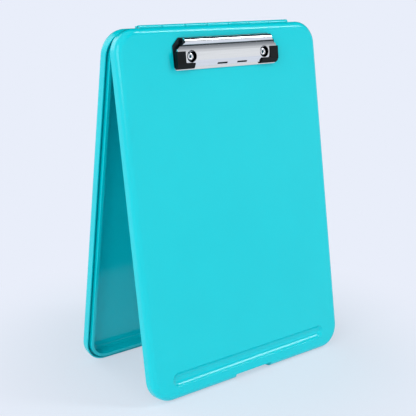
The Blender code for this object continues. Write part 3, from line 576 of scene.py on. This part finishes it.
clip = dict(sheet=0.8, seat=0.3)
base = dict(half=61.6, top=10.2, foot=39.6, cornerCut=7, cutRound=1.0, footRadius=3, edgeRound=0.2,
            earOut=56.3, earIn=55.3, earRadius=1.8, earSink=0.1, boreHalf=60, under=0.2, windowOver=0.5)
rod = dict(drop=23, height=2.1, radius=0.8, half=59.1, hole=1.1, endRound=0.4)
rivet = dict(offset=44, drop=27.8, stem=2.0, bore=1.2, head=3.5, crown=2.2, tail=3.2, tailThick=0.8, hole=2.3,
             ease=0.2, tailEase=0.3)
washer = dict(radius=5.0, thick=0.8, edgeRound=0.2)
spring = dict(offset=20, coil=1.45, wire=0.35, turns=5, pitch=1.15, rearLeg=5.8, rearLift=0.25, bend=2.9,
              frontLeg=7, window=2.4, points=32, extra=0.1)
jaw = dict(barHalf=52.5, barDrop=11, barRadius=3.5, barHeight=5.0, barEnd=15.5, half=59.5, shoulderDrop=21,
           foot=37.2, plate=5.2, swell=0.5, swellSteps=8, bend=(34, 4.6), bendRound=1.2, bendTighter=0.6, lip=2.0,
           lowest=1.4, endRound=1.0, window=5.5, windowHeights=(3, 12), slotMiddle=4.6, slotSpacing=24, slotWidth=12,
           slotDrop=34.9, slotLength=1.5, slotHeights=(-1, 12), spare=5, below=20, beyond=2, hollowHeights=(-30, 30),
           fold=0.6, endRun=6, tipSpare=0.2)
grip = dict(thick=1.3, gap=0.3, bendGap=0.45, crownRoom=0.45, legHalf=51.5, footHalf=41, footDrop=33.8,
            skirt=1.7, cornerRadius=2.5, innerRound=1.2, edgeRound=0.4, edgeFrom=0.1, topRound=0.5, bendRound=1.5,
            footRound=1.0, toeRound=1.0, fold=0.7)
clipThrough = (-5, 20)   # heights that take in the whole clip


def clipPoint(x, drop, height):
    return Vector((x, lid["face"] - height, lid["top"] - drop))


def clipBlock(name, xSpan, drops, heights):
    return addBlock(name, xSpan, (lid["face"] - heights[1], lid["face"] - heights[0]),
                    (lid["top"] - drops[1], lid["top"] - drops[0]))


def clipRod(name, radius, xSpan, drop, height, endRound=0.0):
    return addRod(name, radius, xSpan, lid["face"] - height, lid["top"] - drop, endRound)


def clipDrill(name, radius, x, drop, heights):
    return addDrill(name, radius, x, lid["top"] - drop, (lid["face"] - heights[1], lid["face"] - heights[0]))


def springStart(side):
    return side * spring["offset"] - spring["turns"] * spring["pitch"] / 2


def buildBase(finish):
    low, high = clip["seat"], clip["seat"] + clip["sheet"]
    half, top, foot = base["half"], base["top"], base["foot"]
    right = [(half - base["cornerCut"], top, base["cutRound"]), (half, top + base["cornerCut"], base["cutRound"]),
             (half, foot, base["footRadius"])]
    plan = roundedOutline(right + [(-offset, drop, radius) for offset, drop, radius in reversed(right)])
    plate = addOutline("clipBasePlate", [clipPoint(*point, low) for point in plan], (0, -clip["sheet"], 0))
    roundEdges(plate, lambda edge: crease(edge) > sharp, base["edgeRound"], steps=2)
    for side in sides.values():
        span = sorted((side * base["earIn"], side * base["earOut"]))
        combine(plate, "UNION",
                clipBlock("ear", span, (rod["drop"] - base["earRadius"], rod["drop"] + base["earRadius"]),
                          (low + base["earSink"], rod["height"])),
                clipRod("earTop", base["earRadius"], span, rod["drop"], rod["height"]))
    bore = (-base["boreHalf"], base["boreHalf"])
    combine(plate, "DIFFERENCE", clipRod("rodHole", rod["hole"], bore, rod["drop"], rod["height"]))
    for side in sides.values():
        start = springStart(side)
        window = (start - spring["pitch"], start + (spring["turns"] + 2) * spring["pitch"])
        cutter = clipBlock("springWindow", window, (rod["drop"] - spring["window"], rod["drop"] + spring["window"]),
                           (-base["under"], high + base["windowOver"]))
        combine(plate, "DIFFERENCE", cutter,
                clipDrill("rivetHole", rivet["hole"], side * rivet["offset"], rivet["drop"],
                          (-base["under"], high + over)))
    settle(plate, lidLean, "lid", "clip_base_plate", finish)


def buildRod(finish):
    pivot = clipRod("clipPivotRod", rod["radius"], (-rod["half"], rod["half"]), rod["drop"], rod["height"],
                    rod["endRound"])
    settle(pivot, lidLean, "lid", "clip_pivot_rod", finish)


def buildRivets(plated, steel):
    seat = 2 * clip["seat"] + clip["sheet"]
    front = -case["wall"] - clip["seat"]
    back = front - washer["thick"]
    tailFront = back - clip["seat"]
    tailBack = tailFront - rivet["tailThick"]
    roll = (rivet["head"] - rivet["bore"]) / 2
    crownTop = seat + rivet["crown"]
    crown = arc((rivet["bore"] + roll, crownTop - roll), roll, pi, 0, steps=20)
    head, stem, tail, ease = rivet["head"], rivet["stem"], rivet["tail"], rivet["ease"]
    eyelet = crown + [(head, seat + ease), (head - ease, seat), (stem, seat), (stem, tailFront),
                      (tail - ease, tailFront), (tail, tailFront - ease), (tail, tailBack + ease),
                      (tail - rivet["tailEase"], tailBack), (rivet["bore"], tailBack)]
    ease = washer["edgeRound"]
    ring = roundedOutline([(washer["radius"], front, ease), (washer["radius"], back, ease),
                           (rivet["hole"], back, ease), (rivet["hole"], front, ease)], steps=3)
    for word, side in sides.items():
        x, z = side * rivet["offset"], lid["top"] - rivet["drop"]
        tube = addTurned("rivet" + word.title(), [(across, lid["face"] - up) for across, up in eyelet], x, z)
        settle(tube, lidLean, "lid", "rivet_" + word, plated)
        disc = addTurned("rivetWasher" + word.title(), [(across, lid["face"] - up) for across, up in ring], x, z)
        settle(disc, lidLean, "lid", "rivet_washer_" + word, steel)


def jawSkin(depth):
    # the jaw's section at a depth below its skin: rolled bar, gently crowned plate, then the bend to the lip
    radius = jaw["barRadius"] - depth
    centre = (jaw["barDrop"] + jaw["barRadius"], jaw["barHeight"])
    plate = jaw["plate"] - depth
    valley = atan2(plate - centre[1], sqrt(radius ** 2 - (plate - centre[1]) ** 2))
    bar = [(drop, height, 0) for drop, height in arc(centre, radius, pi, valley, steps=36)]
    start, end = bar[-1], (jaw["bend"][0], jaw["bend"][1] - depth)
    crown = []   # the plate swells a little between the bar and the bend
    for step in range(1, jaw["swellSteps"]):
        part = step / jaw["swellSteps"]
        swell = jaw["swell"] * 4 * part * (1 - part)
        crown.append((start[0] + (end[0] - start[0]) * part, start[1] + (end[1] - start[1]) * part + swell, 0))
    bendRound = jaw["bendRound"] - depth * jaw["bendTighter"]
    return bar + crown + [(*end, bendRound), (jaw["foot"], jaw["lip"] - depth, 0)]


def jawPlan(inset, spare):
    # the jaw's outline as offset and drop: square bar ends, slanting shoulders, straight sides
    slope = (jaw["shoulderDrop"] - jaw["barEnd"]) / (jaw["half"] - jaw["barHalf"])
    step = inset * (sqrt(1 + slope ** 2) - slope)
    right = [(jaw["barHalf"] - inset, jaw["barDrop"] - spare), (jaw["barHalf"] - inset, jaw["barEnd"] + step),
             (jaw["half"] - inset, jaw["shoulderDrop"] + step), (jaw["half"] - inset, jaw["foot"] + spare)]
    return right + [(-offset, drop) for offset, drop in reversed(right)]


def clipExtrusion(name, section, half):
    points = [clipPoint(-half, *point) for point in roundedOutline(section)]
    return addOutline(name, points, (2 * half, 0, 0))


def clipPlanBlock(name, plan, heights):
    points = [clipPoint(*point, heights[0]) for point in plan]
    return addOutline(name, points, (0, heights[0] - heights[1], 0))


def jawEndEdge(edge):
    # where an end of the jaw, which faces sideways, meets the outer skin, down to the lip's tip
    tip = lid["face"] - jaw["lip"] + jaw["tipSpare"]
    atEnd = any(abs(face.normal.x) > 0.5 for face in edge.link_faces)
    atSkin = any(abs(face.normal.x) < 0.1 and face.normal.y < 0.2 for face in edge.link_faces)
    return (crease(edge) > jaw["fold"] and runAlongY(edge) < jaw["endRun"] and atEnd and atSkin
            and all(vert.co.y < tip for vert in edge.verts))


def buildJaw(finish):
    reach = jaw["half"] + jaw["spare"]
    outer = jawSkin(0) + [(jaw["foot"], jaw["lowest"], 0), (rod["drop"], jaw["lowest"], 0)]
    under = jawSkin(clip["sheet"])
    slope = (jaw["bend"][1] - jaw["lip"]) / (jaw["foot"] - jaw["bend"][0])
    near, far, below = jaw["barDrop"] - over, jaw["foot"] + jaw["beyond"], -jaw["below"]
    hollow = [(near, jaw["barHeight"], 0)] + under[:-1] + [
        (far, under[-1][1] - jaw["beyond"] * slope, 0), (far, below, 0), (near, below, 0)]
    press = clipExtrusion("clipJaw", outer, reach)
    combine(press, "INTERSECT", clipPlanBlock("jawPlan", jawPlan(inset=0, spare=0.5), clipThrough))
    # the sheet is rounded where it turns down at the ends
    roundEdges(press, jawEndEdge, jaw["endRound"], steps=4)
    inside = clipExtrusion("jawInside", hollow, reach + over)
    insidePlan = jawPlan(inset=clip["sheet"], spare=4)
    combine(inside, "INTERSECT", clipPlanBlock("jawInsidePlan", insidePlan, jaw["hollowHeights"]))
    combine(press, "DIFFERENCE", inside)
    for side in sides.values():
        middle = jaw["slotMiddle"] + side * jaw["slotSpacing"] / 2
        slot = (middle - jaw["slotWidth"] / 2, middle + jaw["slotWidth"] / 2)
        combine(press, "DIFFERENCE",
                clipDrill("rivetWindow", jaw["window"], side * rivet["offset"], rivet["drop"], jaw["windowHeights"]),
                clipBlock("lipSlot", slot, (jaw["slotDrop"], jaw["slotDrop"] + jaw["slotLength"]),
                          jaw["slotHeights"]))
    combine(press, "DIFFERENCE", clipRod("rodHole", rod["hole"], (-reach, reach), rod["drop"], rod["height"]))
    settle(press, lidLean, "jaw", "clip_jaw", finish)


def buildGrips(finish):
    thick, gap, skirt = grip["thick"], grip["gap"], grip["skirt"]
    bendDrop, bendHeight = jaw["bend"]
    slope = (jaw["plate"] - bendHeight) / (bendDrop - jaw["barDrop"] - 2 * jaw["barRadius"])
    crown = bendHeight + slope * (bendDrop - rod["drop"]) + gap
    innerFoot, innerSide = jaw["foot"] + gap, jaw["half"] + gap
    outerFoot, outerSide = innerFoot + thick, innerSide + thick
    top = rod["drop"]
    skin = [(top, skirt, 0), (top, crown + thick, grip["topRound"]),
            (bendDrop + thick / 2, bendHeight + gap + thick, grip["bendRound"]),
            (outerFoot, jaw["lip"] + gap + thick, grip["footRound"]), (outerFoot, skirt, 0)]
    roomTop = top - over
    room = [(roomTop, 0, 0), (roomTop, crown + slope + grip["crownRoom"], 0),
            (bendDrop, bendHeight + grip["bendGap"], 0), (innerFoot, jaw["lip"] + gap, 0), (innerFoot, 0, 0)]
    plan = [(grip["footHalf"], grip["footDrop"], grip["toeRound"]),
            (grip["legHalf"], grip["footDrop"], grip["innerRound"]), (grip["legHalf"], roomTop, 0),
            (outerSide, roomTop, 0), (outerSide, outerFoot + hair, grip["cornerRadius"]),
            (grip["footHalf"], outerFoot + hair, 0)]
    edgeLevel = lid["face"] - skirt - grip["edgeFrom"]
    for word, side in sides.items():
        cap = clipExtrusion("cornerGrip" + word.title(), skin, outerSide + over)
        shape = [(side * offset, drop) for offset, drop in roundedOutline(plan)]
        combine(cap, "INTERSECT", clipPlanBlock("gripPlan", shape, clipThrough))
        # a soft edge where the cap turns down the jaw's side and at its ends
        roundEdges(cap, lambda edge: crease(edge) > grip["fold"] and all(
            vert.co.y < edgeLevel for vert in edge.verts), grip["edgeRound"], steps=3)
        combine(cap, "DIFFERENCE", clipExtrusion("gripRoom", room, innerSide))
        settle(cap, lidLean, "jaw", "corner_grip_" + word, finish)


def springPath(start):
    # rear leg under the bar, the coil round the rod, then a leg forward along the base plate
    coil, per = spring["coil"], spring["points"]
    path = [(start, -coil - spring["rearLift"], spring["rearLeg"]),
            (start, -coil - spring["rearLift"] / 2, spring["rearLeg"] / 2)]
    for i in range(spring["turns"] * per + int(per * spring["extra"])):
        turn = 2 * pi * i / per
        path.append((start + spring["pitch"] * i / per, -coil * cos(turn), -coil * sin(turn)))
    floor = rod["height"] - clip["sheet"] - 2 * clip["seat"] - spring["wire"]
    end = path[-1][0]
    path += [(end, floor, -spring["bend"]), (end, floor, -spring["frontLeg"])]
    axis = clipPoint(0, rod["drop"], rod["height"])
    return [axis + Vector(point) for point in path]


def buildSprings(finish):
    for word, side in sides.items():
        path = springPath(springStart(side))
        curve = bpy.data.curves.new("clipSpring" + word.title(), "CURVE")
        curve.dimensions = "3D"
        curve.bevel_depth = spring["wire"]
        curve.bevel_resolution = 4
        curve.use_fill_caps = True
        spline = curve.splines.new("POLY")
        spline.points.add(len(path) - 1)
        for point, place in zip(spline.points, path):
            point.co = (*place, 1)
        wire = bpy.data.objects.new(curve.name, curve)
        bpy.context.scene.collection.objects.link(wire)
        takeUp(wire)
        bpy.ops.object.convert(target="MESH")
        bpy.ops.object.mode_set(mode="EDIT")
        bpy.ops.mesh.select_all(action="SELECT")
        bpy.ops.mesh.remove_doubles(threshold=0.001)
        bpy.ops.mesh.normals_make_consistent(inside=False)
        bpy.ops.object.mode_set(mode="OBJECT")
        settle(bpy.context.object, lidLean, "jaw", "clip_spring_" + word, finish)


plastic = turquoisePolypropylene()
nickel, nickelJaw, nickelBase, pinSteel, springSteel = (steelFinish(name) for name in steelLooks)
rubber = blackRubber()
buildLid(plastic)
buildTray(plastic)
buildLatch(plastic)
buildPins(pinSteel)
buildBase(nickelBase)
buildRod(pinSteel)
buildRivets(nickel, pinSteel)
buildJaw(nickelJaw)
buildGrips(rubber)
buildSprings(springSteel)
print("pieces built")


# The stage: pale floor, soft light and the photograph's view

stage = dict(floorRadius=14, near="#DFF0F8", far="#E9EEFA", spread=(0.1, 0.32), even=0.58, rough=0.8, specular=0.1)
lamps = {
    "leftSoftbox": dict(place=(-2.4, -0.9, 1.3), aim=(0, 0, 0.15), size=(1.8, 1.8), power=26),
    "stripLight": dict(place=(1.32, -1.14, 1.64), aim=(0, 0, 0.2), size=(0.3, 1.5), power=16),
    "backFill": dict(place=(-0.8, 2.6, 1.6), aim=(0, 0, 0.2), size=(2, 2), power=16),
}
sky = dict(low="#FBFCFF", high="#DADDE3", strength=0.93, bend=(0.12, 0.5))
flags = {   # dark boards behind on the right and in front on the right, which draw the lines on the bright metal
    "rightBack": dict(way=(0.6, 0.595, 0.535), span=(0.7, 0.79), shade="#1B1C1E"),
    "rightFront": dict(way=(0.6, -0.49, 0.63), span=(0.836, 0.925), shade="#80848B"),
}
view = dict(place=(-532.74, -657.44, 391.58), yaw=38.589, pitch=15.557, roll=0.613, focal=877.433, image=416,
            sensor=36)


def buildFloor():
    # pale paper; away from the object it is shown at one even brightness, and near it it takes the shadow
    bpy.ops.object.select_all(action="DESELECT")
    bpy.ops.mesh.primitive_circle_add(vertices=64, radius=stage["floorRadius"], fill_type="NGON")
    floor = nameIt("studioFloor")
    material, tree, shader = newFinish("palePaperSweep")
    place = addNode(tree, "ShaderNodeTexCoord", {}).outputs["Object"]
    away = addNode(tree, "ShaderNodeVectorMath", {0: place}, operation="LENGTH")
    near, far = stage["spread"]
    share = addNode(tree, "ShaderNodeMapRange", {"Value": away.outputs["Value"], "From Min": near, "From Max": far,
                                                 "To Min": stage["even"]}, interpolation_type="SMOOTHSTEP")
    rays = addNode(tree, "ShaderNodeLightPath", {}).outputs
    seen = addNode(tree, "ShaderNodeMath", {0: rays["Is Camera Ray"], 1: rays["Is Glossy Ray"]}, operation="ADD")
    seen = addNode(tree, "ShaderNodeMath", {0: seen.outputs["Value"], 1: rays["Is Transmission Ray"]},
                   operation="ADD", use_clamp=True)
    fade = addNode(tree, "ShaderNodeMath", {0: seen.outputs["Value"], 1: share.outputs["Result"]},
                   operation="MULTIPLY")
    glow = addNode(tree, "ShaderNodeEmission", {"Color": paint(stage["far"]), "Strength": 1})
    mixed = addNode(tree, "ShaderNodeMixShader", {0: fade.outputs["Value"], 1: shader.outputs["BSDF"],
                                                  2: glow.outputs["Emission"]})
    tree.links.new(mixed.outputs["Shader"], tree.nodes["Material Output"].inputs["Surface"])
    shader.inputs["Base Color"].default_value = paint(stage["near"])
    shader.inputs["Roughness"].default_value = stage["rough"]
    shader.inputs["Specular IOR Level"].default_value = stage["specular"]
    floor.data.materials.append(material)


def buildLamps():
    for name, lamp in lamps.items():
        light = bpy.data.lights.new(name, "AREA")
        light.shape = "RECTANGLE"
        light.size, light.size_y = lamp["size"]
        light.energy = lamp["power"]
        obj = bpy.data.objects.new(name, light)
        obj.location = lamp["place"]
        obj.rotation_euler = (Vector(lamp["aim"]) - obj.location).to_track_quat("-Z", "Y").to_euler()
        bpy.context.scene.collection.objects.link(obj)


def buildSky():
    # pale round the horizon and greyer overhead, as in a studio
    world = bpy.data.worlds.new("studioRoom")
    world.use_nodes = True
    tree = world.node_tree
    way = addNode(tree, "ShaderNodeTexCoord", {}).outputs["Generated"]
    height = addNode(tree, "ShaderNodeSeparateXYZ", {"Vector": way}).outputs["Z"]
    share = addNode(tree, "ShaderNodeMapRange", {"Value": height, "From Min": sky["bend"][0],
                                                 "From Max": sky["bend"][1]})
    colour = mixColours(tree, share.outputs["Result"], paint(sky["low"]), paint(sky["high"]))
    for flag in flags.values():
        toward = addNode(tree, "ShaderNodeVectorMath", {0: way, 1: Vector(flag["way"]).normalized()},
                         operation="DOT_PRODUCT")
        share = addNode(tree, "ShaderNodeMapRange", {"Value": toward.outputs["Value"], "From Min": flag["span"][0],
                                                     "From Max": flag["span"][1]}, interpolation_type="SMOOTHSTEP")
        colour = mixColours(tree, share.outputs["Result"], colour, paint(flag["shade"]))
    tree.links.new(colour, tree.nodes["Background"].inputs["Color"])
    tree.nodes["Background"].inputs["Strength"].default_value = sky["strength"]
    bpy.context.scene.world = world


def buildCamera():
    camera = bpy.data.objects.new("photoView", bpy.data.cameras.new("photoView"))
    camera.data.sensor_width = view["sensor"]
    camera.data.lens = view["focal"] / view["image"] * camera.data.sensor_width
    turn = (Matrix.Rotation(-radians(view["yaw"]), 4, "Z") @ Matrix.Rotation(pi / 2 - radians(view["pitch"]), 4, "X")
            @ Matrix.Rotation(radians(view["roll"]), 4, "Z"))
    camera.matrix_world = Matrix.Translation(Vector(view["place"]) * mm) @ turn
    bpy.context.scene.collection.objects.link(camera)
    bpy.context.scene.camera = camera


buildFloor()
buildLamps()
buildSky()
buildCamera()
bpy.context.scene.view_settings.view_transform = "Standard"
print("stage set")
